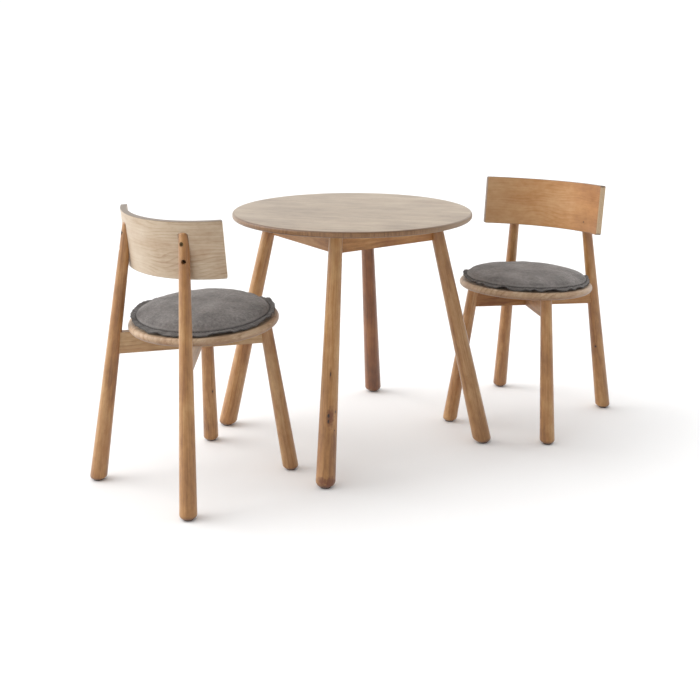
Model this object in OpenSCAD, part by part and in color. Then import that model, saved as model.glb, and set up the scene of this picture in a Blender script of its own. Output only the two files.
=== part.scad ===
// Round children's table with two matching chairs and loose seat cushions.
// Millimetres, +Z up, every foot stands on z = 0. Left and right are the sitter's.

/* [Layout] */
// Table centre along X
table_x = -15; // [-20:1:-10]
// Table centre along Y
table_y = 28.5; // [24:0.5:33]
// Left-hand chair, seat centre from the table centre along X
chair_a_x = -353.2; // [-360:0.2:-350]
// Left-hand chair, seat centre from the table centre along Y
chair_a_y = -2.2; // [-10:0.2:10]
// Left-hand chair, compass angle it faces
chair_a_faces = 14.95; // [10:0.05:20]
// Right-hand chair, seat centre from the table centre along X
chair_b_x = 375.6; // [370:0.2:385]
// Right-hand chair, seat centre from the table centre along Y
chair_b_y = -137.9; // [-145:0.1:-130]
// Right-hand chair, compass angle it faces
chair_b_faces = 201.1; // [196:0.1:206]

/* [Table] */
// Height to the top face
table_h = 500; // [480:5:540]
// Diameter of the top
top_d = 500; // [480:5:560]
// Thickness of the top
top_t = 12; // [12:1:16]
// Rounding of the top's upper and lower edges
top_round = 4.5; // [1:0.5:5]
// Leg axis at the floor, out from the table centre
leg_foot_out = 290.4; // [280:0.2:300]
// Leg axis under the top, out from the table centre
leg_head_out = 172; // [165:0.5:178]
// Leg radius at the floor
leg_foot_r = 19.8; // [18:0.1:22]
// Leg radius under the top
leg_head_r = 13.2; // [12:0.1:15]
// Height of the four apron rails
apron_h = 44; // [40:1:50]
// Thickness of the apron rails
apron_t = 15; // [14:0.5:16]
// Outer face of the aprons from the table centre
apron_out = 127; // [126:0.5:128]

/* [Chair] */
// Seat radius
seat_r = 146.5; // [142:0.5:148]
// Seat thickness
seat_t = 16; // [14:0.5:18]
// Seat underside above the floor, at the seat centre
seat_under = 310.6; // [305:0.2:315]
// Fall of the seat towards the back, degrees
seat_fall = 2.7; // [2:0.1:3.2]
// Height of the two crossing rails under the seat
rail_h = 42.5; // [38:0.5:46]
// Thickness of the crossing rails
rail_t = 14.5; // [13:0.5:16]
// Front leg radius at the floor
front_foot_r = 16.2; // [15:0.1:18]
// Front leg radius at the seat
front_head_r = 12; // [11.5:0.1:13]
// Back leg radius at the floor
back_foot_r = 16.8; // [15:0.1:18]
// Back leg radius at its tip
back_head_r = 9.65; // [9.2:0.05:11]

/* [Backrest] */
// Radius of the bent panel's rear face
panel_r = 200.6; // [195:0.2:206]
// Panel thickness
panel_t = 12; // [11:0.5:14]
// Panel height
panel_h = 106; // [96:1:112]
// Half of the angle the panel bends through
panel_half = 45.5; // [42:0.5:47]
// Height of the middle of the panel
panel_mid = 481.5; // [478:0.5:485]
// Lean of the panel to the back, degrees
panel_lean = 4.7; // [3.5:0.1:6]

/* [Cushion] */
// Radius out to the raw edge of the flange
cushion_r = 139.5; // [132:0.5:142]
// Width of the flat flange outside the seam
flange_w = 11; // [8:0.5:13]
// Height of the cushion at its middle
cushion_h = 34; // [28:1:40]

/* [Hidden] */
$fn = 96;

wood = [0.78, 0.62, 0.45];
leg_wood = [0.72, 0.54, 0.36];
steel = [0.55, 0.55, 0.57];
black = [0.12, 0.11, 0.10];
cloth = [0.36, 0.34, 0.33];

glide_t = 2;
table_foot_round = 11;
chair_foot_round = 8;
under = table_h - top_t;

// Table hardware. The hanger bolt runs level, on the diagonal, from the leg through a corner block.
bolt_z = 467;
bolt_r = 3;
block_far = 36;
block_near = 66;
block_h = 30;
block_bottom = bolt_z - block_h / 2;
apron_in = apron_out - apron_t;
block_mid_out = (4 * apron_in - block_far - block_near) / 2 / sqrt(2);
block_face_out = (2 * apron_in - block_near) / sqrt(2);
screw_side = 12;

// Chair legs, as [x, y, z] at the floor and at the head, for the sitter's right-hand side
front_foot = [121.6, 110.6, 0];
front_head = [87, 80.9, 310.6];
back_foot = [136.6, -177.9, 0];
back_head = [80.1, -107.8, 515.4];
panel_back = -128.9;
// Crossing rails: where a rail's middle height meets each leg axis, in the seat's tilted plane
rail_z = -rail_h / 2;
front_join = at_height(front_foot, front_head, seat_under + rail_z + 82 * sin(seat_fall));
back_join = at_height(back_foot, back_head, seat_under + rail_z - 138 * sin(seat_fall));
rail_len = norm([front_join.x + back_join.x, front_join.y - back_join.y]);
rail_turn = atan2(front_join.y - back_join.y, front_join.x + back_join.x);
cross_y = back_join.y + (front_join.y - back_join.y) * back_join.x / (front_join.x + back_join.x);
dowel_r = 3;
dowel_up = 10.5;
seat_screw_out = 62;
seat_screw_r = 2;
// Backrest fixings: bolt heights, and how much leg is left between a bolt head and the panel
back_bolt_z = [497, 467];
back_bolt_r = 2.5;
head_r = 3.9;
head_t = 3;
head_off = 4;
insert_r = 4;
insert_len = 9;
insert_sink = 0.5;

function at_height(p, q, z) = p + (q - p) * (z - p.z) / (q.z - p.z);

module along(p, q) {
    d = q - p;
    translate(p) rotate([0, acos(d.z / norm(d)), atan2(d.y, d.x)]) children();
}

// Flat end and rounded edge at the bottom of a leg, standing upright over the foot
module foot_trim(p, r, round) {
    e = r * 1.04 + 0.6;
    translate([p.x, p.y, glide_t]) difference() {
        translate([0, 0, -20]) cylinder(h = 20 + round, r = r + 12);
        rotate_extrude() {
            square([e - round, round + 1]);
            intersection() {
                translate([e - round, round]) circle(round);
                square([e, round + 1]);
            }
        }
    }
}

module glide(p, r) {
    translate([p.x, p.y, 0]) {
        cylinder(h = glide_t, r = r);
        cylinder(h = glide_t + 10, r = 1.5);
    }
}

// ---- table ----
module at_table() translate([table_x, table_y, 0]) children();

function table_foot(a) = [leg_foot_out * cos(a), leg_foot_out * sin(a), 0];
function table_head(a) = [leg_head_out * cos(a), leg_head_out * sin(a), under];

// Round leg tapering along its own axis, a little longer than needed at the top
module table_leg_round(a) {
    p = table_foot(a);
    d = table_head(a) - p;
    q = p + d * 1.06;
    along(p, q) cylinder(h = norm(q - p), r1 = leg_foot_r,
                         r2 = leg_foot_r + (leg_head_r - leg_foot_r) * 1.06);
}

module hanger_bolt(a) {
    rotate([0, 0, a]) translate([block_face_out - 11, 0, bolt_z])
        rotate([0, 90, 0]) cylinder(h = 185 - block_face_out + 11, r = bolt_r);
}

module table_leg(a) {
    difference() {
        table_leg_round(a);
        foot_trim(table_foot(a), leg_foot_r, table_foot_round);
        translate([-300, -300, under]) cube([600, 600, 60]);
        hanger_bolt(a);
        glide(table_foot(a), 0.5);
    }
}

// One apron rail, mitred at both ends and coped to the round legs
module apron(turn) {
    rotate([0, 0, turn]) difference() {
        translate([0, 0, under - apron_h]) linear_extrude(apron_h) polygon([
            [-apron_out, -apron_out], [apron_out, -apron_out],
            [apron_in, -apron_in], [-apron_in, -apron_in]
        ]);
        for (a = [-135, -45]) {
            table_leg_round(a);
            hanger_bolt(a);
        }
    }
}

module corner_block(a) {
    difference() {
        rotate([0, 0, a - 45]) translate([0, 0, block_bottom]) linear_extrude(block_h) polygon([
            [apron_in, apron_in - block_far], [apron_in - block_far, apron_in],
            [apron_in - block_near, apron_in], [apron_in, apron_in - block_near]
        ]);
        hanger_bolt(a);
        top_screws_at(a);
    }
}

// Two countersunk wood screws up through each corner block
module top_screws_at(a) {
    rotate([0, 0, a]) for (s = [-1, 1]) translate([block_mid_out, s * screw_side, block_bottom]) {
        cylinder(h = under + 8 - block_bottom, r = 2);
        cylinder(h = 2.2, r1 = 4, r2 = 2);
    }
}

module table_top() color(wood) at_table() difference() {
    translate([0, 0, under]) rotate_extrude() {
        square([top_d / 2 - top_round, top_t]);
        translate([0, top_round]) square([top_d / 2, top_t - 2 * top_round]);
        for (z = [top_round, top_t - top_round])
            translate([top_d / 2 - top_round, z]) circle(top_round);
    }
    for (a = [45 : 90 : 315]) top_screws_at(a);
}

module table_leg_front_left() color(leg_wood) at_table() table_leg(-135);
module table_leg_front_right() color(leg_wood) at_table() table_leg(-45);
module table_leg_back_left() color(leg_wood) at_table() table_leg(135);
module table_leg_back_right() color(leg_wood) at_table() table_leg(45);
module apron_front() color(wood) at_table() apron(0);
module apron_back() color(wood) at_table() apron(180);
module apron_left() color(wood) at_table() apron(-90);
module apron_right() color(wood) at_table() apron(90);

module table_corner_blocks() color(wood) at_table() for (a = [45 : 90 : 315]) corner_block(a);
module table_leg_bolts() color(steel) at_table() for (a = [45 : 90 : 315]) hanger_bolt(a);

module table_leg_washers() color(steel) at_table() for (a = [45 : 90 : 315])
    rotate([0, 0, a]) translate([block_face_out - 1.6, 0, bolt_z]) rotate([0, 90, 0])
        difference() {
            cylinder(h = 1.6, r = 9);
            translate([0, 0, -1]) cylinder(h = 4, r = bolt_r);
        }

module table_leg_nuts() color(steel) at_table() for (a = [45 : 90 : 315])
    rotate([0, 0, a]) translate([block_face_out - 6.6, 0, bolt_z]) rotate([0, 90, 0])
        difference() {
            cylinder(h = 5, r = 5.77, $fn = 6);
            translate([0, 0, -1]) cylinder(h = 7, r = bolt_r);
        }

module table_top_screws() color(steel) at_table() for (a = [45 : 90 : 315]) top_screws_at(a);
module table_glides() color(black) at_table()
    for (a = [45 : 90 : 315]) glide(table_foot(a), 10.5);

// ---- chair, standing at the origin and facing +Y ----
module at_a() translate([table_x + chair_a_x, table_y + chair_a_y, 0])
    rotate([0, 0, chair_a_faces - 90]) children();
module at_b() translate([table_x + chair_b_x, table_y + chair_b_y, 0])
    rotate([0, 0, chair_b_faces - 90]) children();

function on_side(p, s) = [s * p.x, p.y, p.z];

// Tilted plane of the seat's underside
module seat_plane() translate([0, 0, seat_under]) rotate([seat_fall, 0, 0]) children();

module front_leg_round(s) {
    p = on_side(front_foot, s);
    q = at_height(p, on_side(front_head, s), 330);
    along(p, q) cylinder(h = norm(q - p), r1 = front_foot_r,
        r2 = front_foot_r + (front_head_r - front_foot_r) * 330 / front_head.z);
}

module back_leg_round(s) {
    p = on_side(back_foot, s);
    q = on_side(back_head, s);
    len = norm(q - p);
    tip = 3.5;
    along(p, q) intersection() {
        cylinder(h = len, r1 = back_foot_r, r2 = back_head_r);
        rotate_extrude() {
            square([back_foot_r + 1, len - tip]);
            square([back_head_r - tip, len]);
            translate([back_head_r - tip, len - tip]) circle(tip);
        }
    }
}

// Axis of the bent panel, upright in its own leaning frame
module panel_axis() translate([0, panel_back, panel_mid]) rotate([panel_lean, 0, 0])
    translate([0, panel_r, 0]) children();

// On the panel's rear face at a given bend angle and height, +Z pointing out of the rear
module panel_rear(a, h) panel_axis() rotate([0, 0, a]) translate([0, -panel_r, h])
    rotate([90, 0, 0]) children();

module panel_blank() rotate([0, 0, -90 - panel_half]) rotate_extrude(angle = 2 * panel_half)
    translate([panel_r - panel_t, -panel_h / 2]) square([panel_t, panel_h]);

function bolt_angle(z) = asin(at_height(back_foot, back_head, z).x / panel_r);
function bolt_up(z) = (z - panel_mid) / cos(panel_lean) - 1.2;

module at_back_bolts(s) for (z = back_bolt_z) panel_rear(s * bolt_angle(z), bolt_up(z)) children();

module back_bolt() {
    translate([0, 0, -insert_len]) cylinder(h = insert_len + head_off, r = back_bolt_r);
    translate([0, 0, head_off]) cylinder(h = head_t, r = head_r);
}

// A crossing rail's centre line, at the middle of its height, starting at its back end on one side
module rail_line(s) seat_plane() translate([-s * back_join.x, back_join.y, rail_z])
    rotate([0, 0, s > 0 ? rail_turn : 180 - rail_turn]) children();

module rail_bar(s) rail_line(s) translate([0, -rail_t / 2, -rail_h / 2])
    cube([rail_len, rail_t, rail_h]);

// Half of the height of a rail at the crossing
module lap(s, up) rail_line(s) translate([0, -rail_t / 2, up > 0 ? 0 : -rail_h / 2 - 1])
    cube([rail_len, rail_t, rail_h / 2 + 1]);

module rail_dowels(s) rail_line(s) for (x = [-5, rail_len - 33], z = [-dowel_up, dowel_up])
    translate([x, 0, z]) rotate([0, 90, 0]) cylinder(h = 38, r = dowel_r);

module seat_screws(s) seat_plane() translate([0, cross_y, 0])
    rotate([0, 0, s > 0 ? rail_turn : 180 - rail_turn]) for (x = [-seat_screw_out, seat_screw_out])
        translate([x, 0, -24]) {
            cylinder(h = 34, r = seat_screw_r);
            cylinder(h = 3, r = 4);
        }

module seat_screw_wells(s) seat_plane() translate([0, cross_y, 0])
    rotate([0, 0, s > 0 ? rail_turn : 180 - rail_turn]) for (x = [-seat_screw_out, seat_screw_out])
        translate([x, 0, -rail_h - 1]) cylinder(h = rail_h - 20, r = 4);

module seat() difference() {
    seat_plane() rotate_extrude() {
        square([seat_r - seat_t / 2, seat_t]);
        translate([seat_r - seat_t / 2, seat_t / 2]) circle(seat_t / 2);
    }
    for (s = [-1, 1]) seat_screws(s);
}

module front_leg(s) difference() {
    front_leg_round(s);
    foot_trim(on_side(front_foot, s), front_foot_r, chair_foot_round);
    seat_plane() translate([-300, -300, 0]) cube([600, 600, 60]);
    rail_dowels(-s);
    rail_dowels(s);
    glide(on_side(front_foot, s), 0.5);
}

module back_leg(s) difference() {
    back_leg_round(s);
    foot_trim(on_side(back_foot, s), back_foot_r, chair_foot_round);
    panel_axis() translate([0, 0, -panel_h / 2 - 6]) cylinder(h = panel_h + 20, r = panel_r + 0.15);
    at_back_bolts(s) {
        translate([0, 0, -1]) cylinder(h = head_off + 2, r = back_bolt_r);
        translate([0, 0, head_off]) cylinder(h = 30, r = head_r + 0.2);
    }
    rail_dowels(-s);
    glide(on_side(back_foot, s), 0.5);
}

module rail(s, up) difference() {
    rail_bar(s);
    back_leg_round(-s);
    front_leg_round(s);
    intersection() {
        rail_bar(-s);
        lap(-s, up);
    }
    rail_dowels(s);
    seat_screws(s);
    seat_screw_wells(s);
}

module backrest() difference() {
    panel_axis() panel_blank();
    for (s = [-1, 1]) at_back_bolts(s)
        translate([0, 0, -insert_len]) cylinder(h = insert_len + 5, r = insert_r);
}

module backrest_bolts() for (s = [-1, 1]) at_back_bolts(s) difference() {
    back_bolt();
    translate([0, 0, head_off + head_t - 2]) cylinder(h = 3, r = 2, $fn = 6);
}

module backrest_inserts() for (s = [-1, 1]) at_back_bolts(s)
    translate([0, 0, -insert_len]) difference() {
        cylinder(h = insert_len - insert_sink, r = insert_r);
        translate([0, 0, -1]) cylinder(h = insert_len + 2, r = back_bolt_r);
    }

module chair_glides() for (s = [-1, 1]) {
    glide(on_side(front_foot, s), 9.5);
    glide(on_side(back_foot, s), 9.5);
}

// Two round panels seamed together inside a flat raw-edged flange, resting just clear of the seat
module cushion() seat_plane() translate([0, 0, seat_t + 0.4]) rotate_extrude() {
    seam = cushion_r - flange_w;
    side = cushion_h / 2;
    intersection() {
        union() {
            square([seam - side * 0.8, cushion_h]);
            translate([seam - side, side * 0.86]) circle(side * 0.86);
            square([seam - side, side]);
        }
        translate([0, cushion_h - 420]) circle(420);
        square([cushion_r, cushion_h]);
    }
    translate([0, 6]) square([cushion_r, 3]);
}

module chair_a_seat() color(wood) at_a() seat();
module chair_a_front_leg_left() color(leg_wood) at_a() front_leg(-1);
module chair_a_front_leg_right() color(leg_wood) at_a() front_leg(1);
module chair_a_back_leg_left() color(leg_wood) at_a() back_leg(-1);
module chair_a_back_leg_right() color(leg_wood) at_a() back_leg(1);
module chair_a_rail_upper() color(wood) at_a() rail(1, -1);
module chair_a_rail_lower() color(wood) at_a() rail(-1, 1);
module chair_a_backrest() color(wood) at_a() backrest();
module chair_a_backrest_bolts() color(steel) at_a() backrest_bolts();
module chair_a_backrest_inserts() color(steel) at_a() backrest_inserts();
module chair_a_rail_dowels() color(wood) at_a() {
    rail_dowels(-1);
    rail_dowels(1);
}
module chair_a_seat_screws() color(steel) at_a() {
    seat_screws(-1);
    seat_screws(1);
}
module chair_a_glides() color(black) at_a() chair_glides();
module chair_a_cushion() color(cloth) at_a() cushion();

module chair_b_seat() color(wood) at_b() seat();
module chair_b_front_leg_left() color(leg_wood) at_b() front_leg(-1);
module chair_b_front_leg_right() color(leg_wood) at_b() front_leg(1);
module chair_b_back_leg_left() color(leg_wood) at_b() back_leg(-1);
module chair_b_back_leg_right() color(leg_wood) at_b() back_leg(1);
module chair_b_rail_upper() color(wood) at_b() rail(1, -1);
module chair_b_rail_lower() color(wood) at_b() rail(-1, 1);
module chair_b_backrest() color(wood) at_b() backrest();
module chair_b_backrest_bolts() color(steel) at_b() backrest_bolts();
module chair_b_backrest_inserts() color(steel) at_b() backrest_inserts();
module chair_b_rail_dowels() color(wood) at_b() {
    rail_dowels(-1);
    rail_dowels(1);
}
module chair_b_seat_screws() color(steel) at_b() {
    seat_screws(-1);
    seat_screws(1);
}
module chair_b_glides() color(black) at_b() chair_glides();
module chair_b_cushion() color(cloth) at_b() cushion();

table_top();
table_leg_front_left();
table_leg_front_right();
table_leg_back_left();
table_leg_back_right();
apron_front();
apron_back();
apron_left();
apron_right();
table_corner_blocks();
table_leg_bolts();
table_leg_washers();
table_leg_nuts();
table_top_screws();
table_glides();
chair_a_seat();
chair_a_front_leg_left();
chair_a_front_leg_right();
chair_a_back_leg_left();
chair_a_back_leg_right();
chair_a_rail_upper();
chair_a_rail_lower();
chair_a_backrest();
chair_a_backrest_bolts();
chair_a_backrest_inserts();
chair_a_rail_dowels();
chair_a_seat_screws();
chair_a_glides();
chair_a_cushion();
chair_b_seat();
chair_b_front_leg_left();
chair_b_front_leg_right();
chair_b_back_leg_left();
chair_b_back_leg_right();
chair_b_rail_upper();
chair_b_rail_lower();
chair_b_backrest();
chair_b_backrest_bolts();
chair_b_backrest_inserts();
chair_b_rail_dowels();
chair_b_seat_screws();
chair_b_glides();
chair_b_cushion();
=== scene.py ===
import bpy, bmesh, math
import numpy as np
from mathutils import Vector, Matrix, noise


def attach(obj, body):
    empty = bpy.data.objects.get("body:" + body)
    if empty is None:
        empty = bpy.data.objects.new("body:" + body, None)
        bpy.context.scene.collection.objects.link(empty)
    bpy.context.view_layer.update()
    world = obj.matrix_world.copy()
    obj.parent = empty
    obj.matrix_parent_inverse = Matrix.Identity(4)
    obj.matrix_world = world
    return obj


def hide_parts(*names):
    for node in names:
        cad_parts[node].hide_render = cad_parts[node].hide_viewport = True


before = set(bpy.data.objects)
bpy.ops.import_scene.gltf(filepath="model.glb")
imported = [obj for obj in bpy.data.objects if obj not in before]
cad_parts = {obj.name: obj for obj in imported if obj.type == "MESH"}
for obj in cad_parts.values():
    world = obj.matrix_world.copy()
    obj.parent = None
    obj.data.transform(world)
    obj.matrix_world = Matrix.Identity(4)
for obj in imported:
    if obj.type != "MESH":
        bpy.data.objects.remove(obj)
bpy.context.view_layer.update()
scene = bpy.context.scene
scene.view_settings.view_transform = "Standard"
UP = Vector((0, 0, 1))


def add_object(name, data):
    ob = bpy.data.objects.new(name, data)
    scene.collection.objects.link(ob)
    return ob


# ---- camera ---------------------------------------------------------------------------------
cam = add_object("camera", bpy.data.cameras.new("camera"))
cam.data.lens = 52.3
cam.data.sensor_width = 36
cam.data.clip_start, cam.data.clip_end = 0.05, 60
cam.location = (-1.2190, -1.7172, 0.8501)
cam.rotation_euler = (math.radians(90 - 17.2), 0, math.radians(-34.468))  # looks 17.2 degrees down
scene.camera = cam

# ---- places and sizes, in metres, as in the CAD ---------------------------------------------
GLIDE_T = 0.002  # every leg stands on a glide
TABLE = Vector((-0.015, 0.0285, 0))
TOP_R, TOP_T, TOP_ROUND = 0.25, 0.012, 0.0045
TOP_UNDER = 0.488
LEG_FOOT_OUT, LEG_HEAD_OUT = 0.2904, 0.172  # from the table's axis
LEG_RADII, LEG_ROUND = (0.0198, 0.0132), 0.011

# each chair's place, and the way it faces in degrees
CHAIRS = {"a": (Vector((-0.3682, 0.0263, 0)), 14.95), "b": (Vector((0.3606, -0.1094, 0)), 201.1)}
FRONT_FOOT, FRONT_HEAD = Vector((0.1216, 0.1106, 0)), Vector((0.087, 0.0809, 0.3106))
FRONT_RADII, FRONT_TOP = (0.0162, 0.012), 0.318  # the top before it is cut along the seat
BACK_FOOT, BACK_HEAD = Vector((0.1366, -0.1779, 0)), Vector((0.0801, -0.1078, 0.5154))
BACK_RADII, BACK_TIP = (0.0168, 0.00965), 0.0035
CHAIR_FOOT_ROUND = 0.008
RAILS = (("rail_upper", 48.8), ("rail_lower", 131.2))
SEAT_UNDER, SEAT_T, SEAT_R, FALL = 0.3106, 0.016, 0.1465, math.radians(2.7)
PANEL_R, PANEL_T, PANEL_H, PANEL_HALF = 0.2006, 0.012, 0.106, math.radians(45.5)
PANEL_BACK, PANEL_MID, LEAN = -0.1289, 0.4815, math.radians(4.7)
PANEL_CORNER, PANEL_EASE = 0.0035, 0.0009
BOLT_HEIGHTS, BOLT_R, BOLT_SPAN = (0.497, 0.467), 0.0041, (0.004, 0.034)

SEAT_PLANE = Matrix.Translation((0, 0, SEAT_UNDER)) @ Matrix.Rotation(FALL, 4, "X")
SEAT_INV = SEAT_PLANE.inverted()
PANEL_AXIS = Matrix.Translation((0, PANEL_BACK, PANEL_MID)) @ Matrix.Rotation(LEAN, 4, "X") @ \
    Matrix.Translation((0, PANEL_R, 0))
PANEL_INV = PANEL_AXIS.inverted()


def chair_matrix(c):
    at, faces = CHAIRS[c]
    return Matrix.Translation(at) @ Matrix.Rotation(math.radians(faces - 90), 4, "Z")


# ---- node helpers ---------------------------------------------------------------------------
class Nodes:
    """A thin wrapper to write node trees as expressions."""

    def __init__(self, tree):
        self.t = tree
        self.t.nodes.clear()

    def new(self, kind, props=None, **inputs):
        n = self.t.nodes.new("ShaderNode" + kind)
        for k, v in (props or {}).items():
            setattr(n, k, v)
        for k, v in inputs.items():
            self.set(n, k, v)
        return n

    def set(self, n, key, v):
        """key is an input's name with _ for each space, or i and its number."""
        numbered = key[0] == "i" and key[1:].isdigit()
        s = n.inputs[int(key[1:]) if numbered else key.replace("_", " ")]
        if isinstance(v, bpy.types.NodeSocket):
            self.t.links.new(v, s)
        else:
            s.default_value = v

    def math(self, op, a, b=0.0):
        return self.new("Math", {"operation": op}, i0=a, i1=b).outputs[0]

    def add(self, a, b):
        return self.math("ADD", a, b)

    def sub(self, a, b):
        return self.math("SUBTRACT", a, b)

    def mul(self, a, b):
        return self.math("MULTIPLY", a, b)

    def hypot(self, a, b):
        return self.math("SQRT", self.add(self.mul(a, a), self.mul(b, b)))

    def vmath(self, op, a, b):
        return self.new("VectorMath", {"operation": op}, i0=a, i1=b).outputs[0]

    def length(self, a):
        return self.new("VectorMath", {"operation": "LENGTH"}, i0=a).outputs[1]

    def mix(self, f, a, b):
        return self.new("Mix", {"data_type": "RGBA"}, i0=f, i6=a, i7=b).outputs[2]

    def ramp(self, f, *stops):
        """Each stop is a position and a colour or a grey level."""
        n = self.new("ValToRGB", i0=f)
        marks = n.color_ramp.elements
        while len(marks) < len(stops):
            marks.new(0.5)
        for mark, (p, c) in zip(marks, stops):
            mark.position = p
            mark.color = c if isinstance(c, tuple) else (c, c, c, 1)
        return n.outputs[0]

    def noise(self, vec, scale, detail=3.0, rough=0.5, distort=0.0):
        return self.new("TexNoise", Vector=vec, Scale=scale, Detail=detail, Roughness=rough,
                        Distortion=distort).outputs[0]

    def stretched(self, vec, scales, detail, rough, scale=1.0):
        """Noise with a scale for each axis."""
        return self.noise(self.vmath("MULTIPLY", vec, scales), scale, detail, rough)

    def vary(self, value, by, weight):
        """Moves a value up and down with a noise."""
        return self.add(value, self.mul(self.sub(by, 0.5), weight))

    def layers(self, n, strength):
        """Thin lines where n passes a whole number."""
        off = self.math("ABSOLUTE", self.sub(self.math("FRACT", n), 0.5))
        return self.ramp(off, (0.36, 0.0), (0.5, strength))

    def spot(self, co, mark, scale, detail, ragged):
        """How far it is to a knot or a stain, in its own sizes. The noise makes its outline ragged."""
        x, y, z, size, stretch = mark
        d = self.vmath("MULTIPLY", self.vmath("SUBTRACT", co, (x, y, z)), (1 / stretch, 1, 1))
        d = self.math("DIVIDE", self.length(d), size)
        return self.vary(d, self.noise(co, scale, detail), ragged)


class Material(Nodes):
    """A new material, with one Principled shader."""

    def __init__(self, name):
        self.mat = bpy.data.materials.new(name)
        self.mat.use_nodes = True
        super().__init__(self.mat.node_tree)
        out = self.t.nodes.new("ShaderNodeOutputMaterial")
        self.bsdf = self.t.nodes.new("ShaderNodeBsdfPrincipled")
        self.t.links.new(self.bsdf.outputs[0], out.inputs[0])

    def shader(self, **inputs):
        for k, v in inputs.items():
            self.set(self.bsdf, k, v)
        return self.mat

    def bump(self, height, strength, distance, **more):
        return self.new("Bump", Height=height, Strength=strength, Distance=distance, **more).outputs[0]


def srgb(r, g, b):
    def f(c):
        c /= 255
        return c / 12.92 if c <= 0.04045 else ((c + 0.055) / 1.055) ** 2.4
    return (f(r), f(g), f(b), 1)


def shade(tone, r, g, b):
    """A colour with each channel scaled."""
    return (tone[0] * r, tone[1] * g, tone[2] * b, 1)


def tint(tones, k):
    """The same colours, k times as light."""
    return [shade(tone, k, k, k) for tone in tones]


# ---- woods ----------------------------------------------------------------------------------
# light, middle and dark tone of each
PALE = (srgb(214, 190, 160), srgb(191, 161, 129), srgb(154, 119, 86))
WARM = (srgb(208, 164, 110), srgb(176, 125, 70), srgb(126, 79, 38))
TOP = (srgb(177, 157, 129), srgb(156, 134, 106), srgb(125, 101, 74))
RED = (srgb(166, 108, 58), srgb(136, 83, 40), srgb(96, 54, 22))
MILD = (srgb(212, 180, 140), srgb(184, 146, 102), srgb(142, 104, 66))
# painted light: chair a's panel gets paler tones than b's, for the light from the left on its rear face
PANEL = {"a": (srgb(217, 201, 180), srgb(197, 175, 148), srgb(158, 124, 92)),
         "b": (srgb(208, 166, 120), srgb(184, 132, 79), srgb(147, 97, 50))}
SHADED_SIDE, LIT_SIDE = 0.84, 1.12  # for tint, against WARM
KNOT_BLACK = (0.022, 0.012, 0.007, 1)


def sawn_rim(w, col, base, xyz, mid, dark, rim):
    """The table top's sawn edge, outside the radius rim: darker, in layers, with upright cut marks."""
    x, y, z = xyz
    out = w.hypot(x, y)
    cut = w.stretched(base, (260, 260, 30), 3.0, 0.6)
    out = w.ramp(w.mul(w.sub(out, rim), 700.0), (0.0, 0.0), (1.0, 1.0))
    edge = w.ramp(cut, (0.3, srgb(118, 82, 50)), (0.7, srgb(156, 114, 74)))
    edge = w.mix(w.layers(w.mul(z, 1 / 0.0031), 0.3), edge, shade(dark, 0.32, 0.22, 0.15))
    # dark just under the rounded top and at the bottom, paler where it crosses the grain
    line = w.ramp(w.math("DIVIDE", z, TOP_T), (0.0, 0.75), (0.16, 0.25), (0.24, 0.0), (0.76, 0.0),
                  (0.86, 0.66), (0.97, 0.66), (1.0, 0.4))
    edge = w.mix(line, edge, shade(dark, 0.40, 0.27, 0.17))
    across = w.math("DIVIDE", w.math("ABSOLUTE", x), TOP_R)
    edge = w.mix(w.ramp(across, (0.66, 0.0), (1.0, 0.6)), edge, mid)
    return w.mix(w.mul(out, 0.92), col, edge)


def ply_edges(w, col, height, base, mid, dark, plies):
    """The edges of plywood. The "ply" attribute holds the depth in the board (0 to 1), 1 on the edges, and 1
    on the ends that stay pale. Gives the colour and the bump's height."""
    ply = w.new("Attribute", {"attribute_name": "ply"}).outputs["Vector"]
    depth, on_edge, at_end = w.new("SeparateXYZ", Vector=ply).outputs
    n = w.mul(depth, float(plies))
    glue = w.layers(n, 1.0)
    odd = w.math("MODULO", w.math("FLOOR", n), 2.0)
    speck = w.stretched(base, (500, 500, 500), 3.0, 0.7)
    ply = w.mix(w.mul(odd, 0.42), srgb(232, 209, 174), shade(mid, 0.8, 0.74, 0.66))
    ply = w.mix(w.mul(speck, 0.25), ply, mid)
    ply = w.mix(w.mul(glue, 0.8), ply, shade(dark, 0.42, 0.34, 0.28))
    # the long edges, and the ends that are not kept pale, are darker than the pale ends
    ply = w.mix(at_end, w.mix(0.86, ply, shade(dark, 0.28, 0.28, 0.28)), ply)
    col = w.mix(on_edge, col, ply)
    return col, w.add(height, w.mul(w.mul(glue, on_edge), -1.5))


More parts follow.
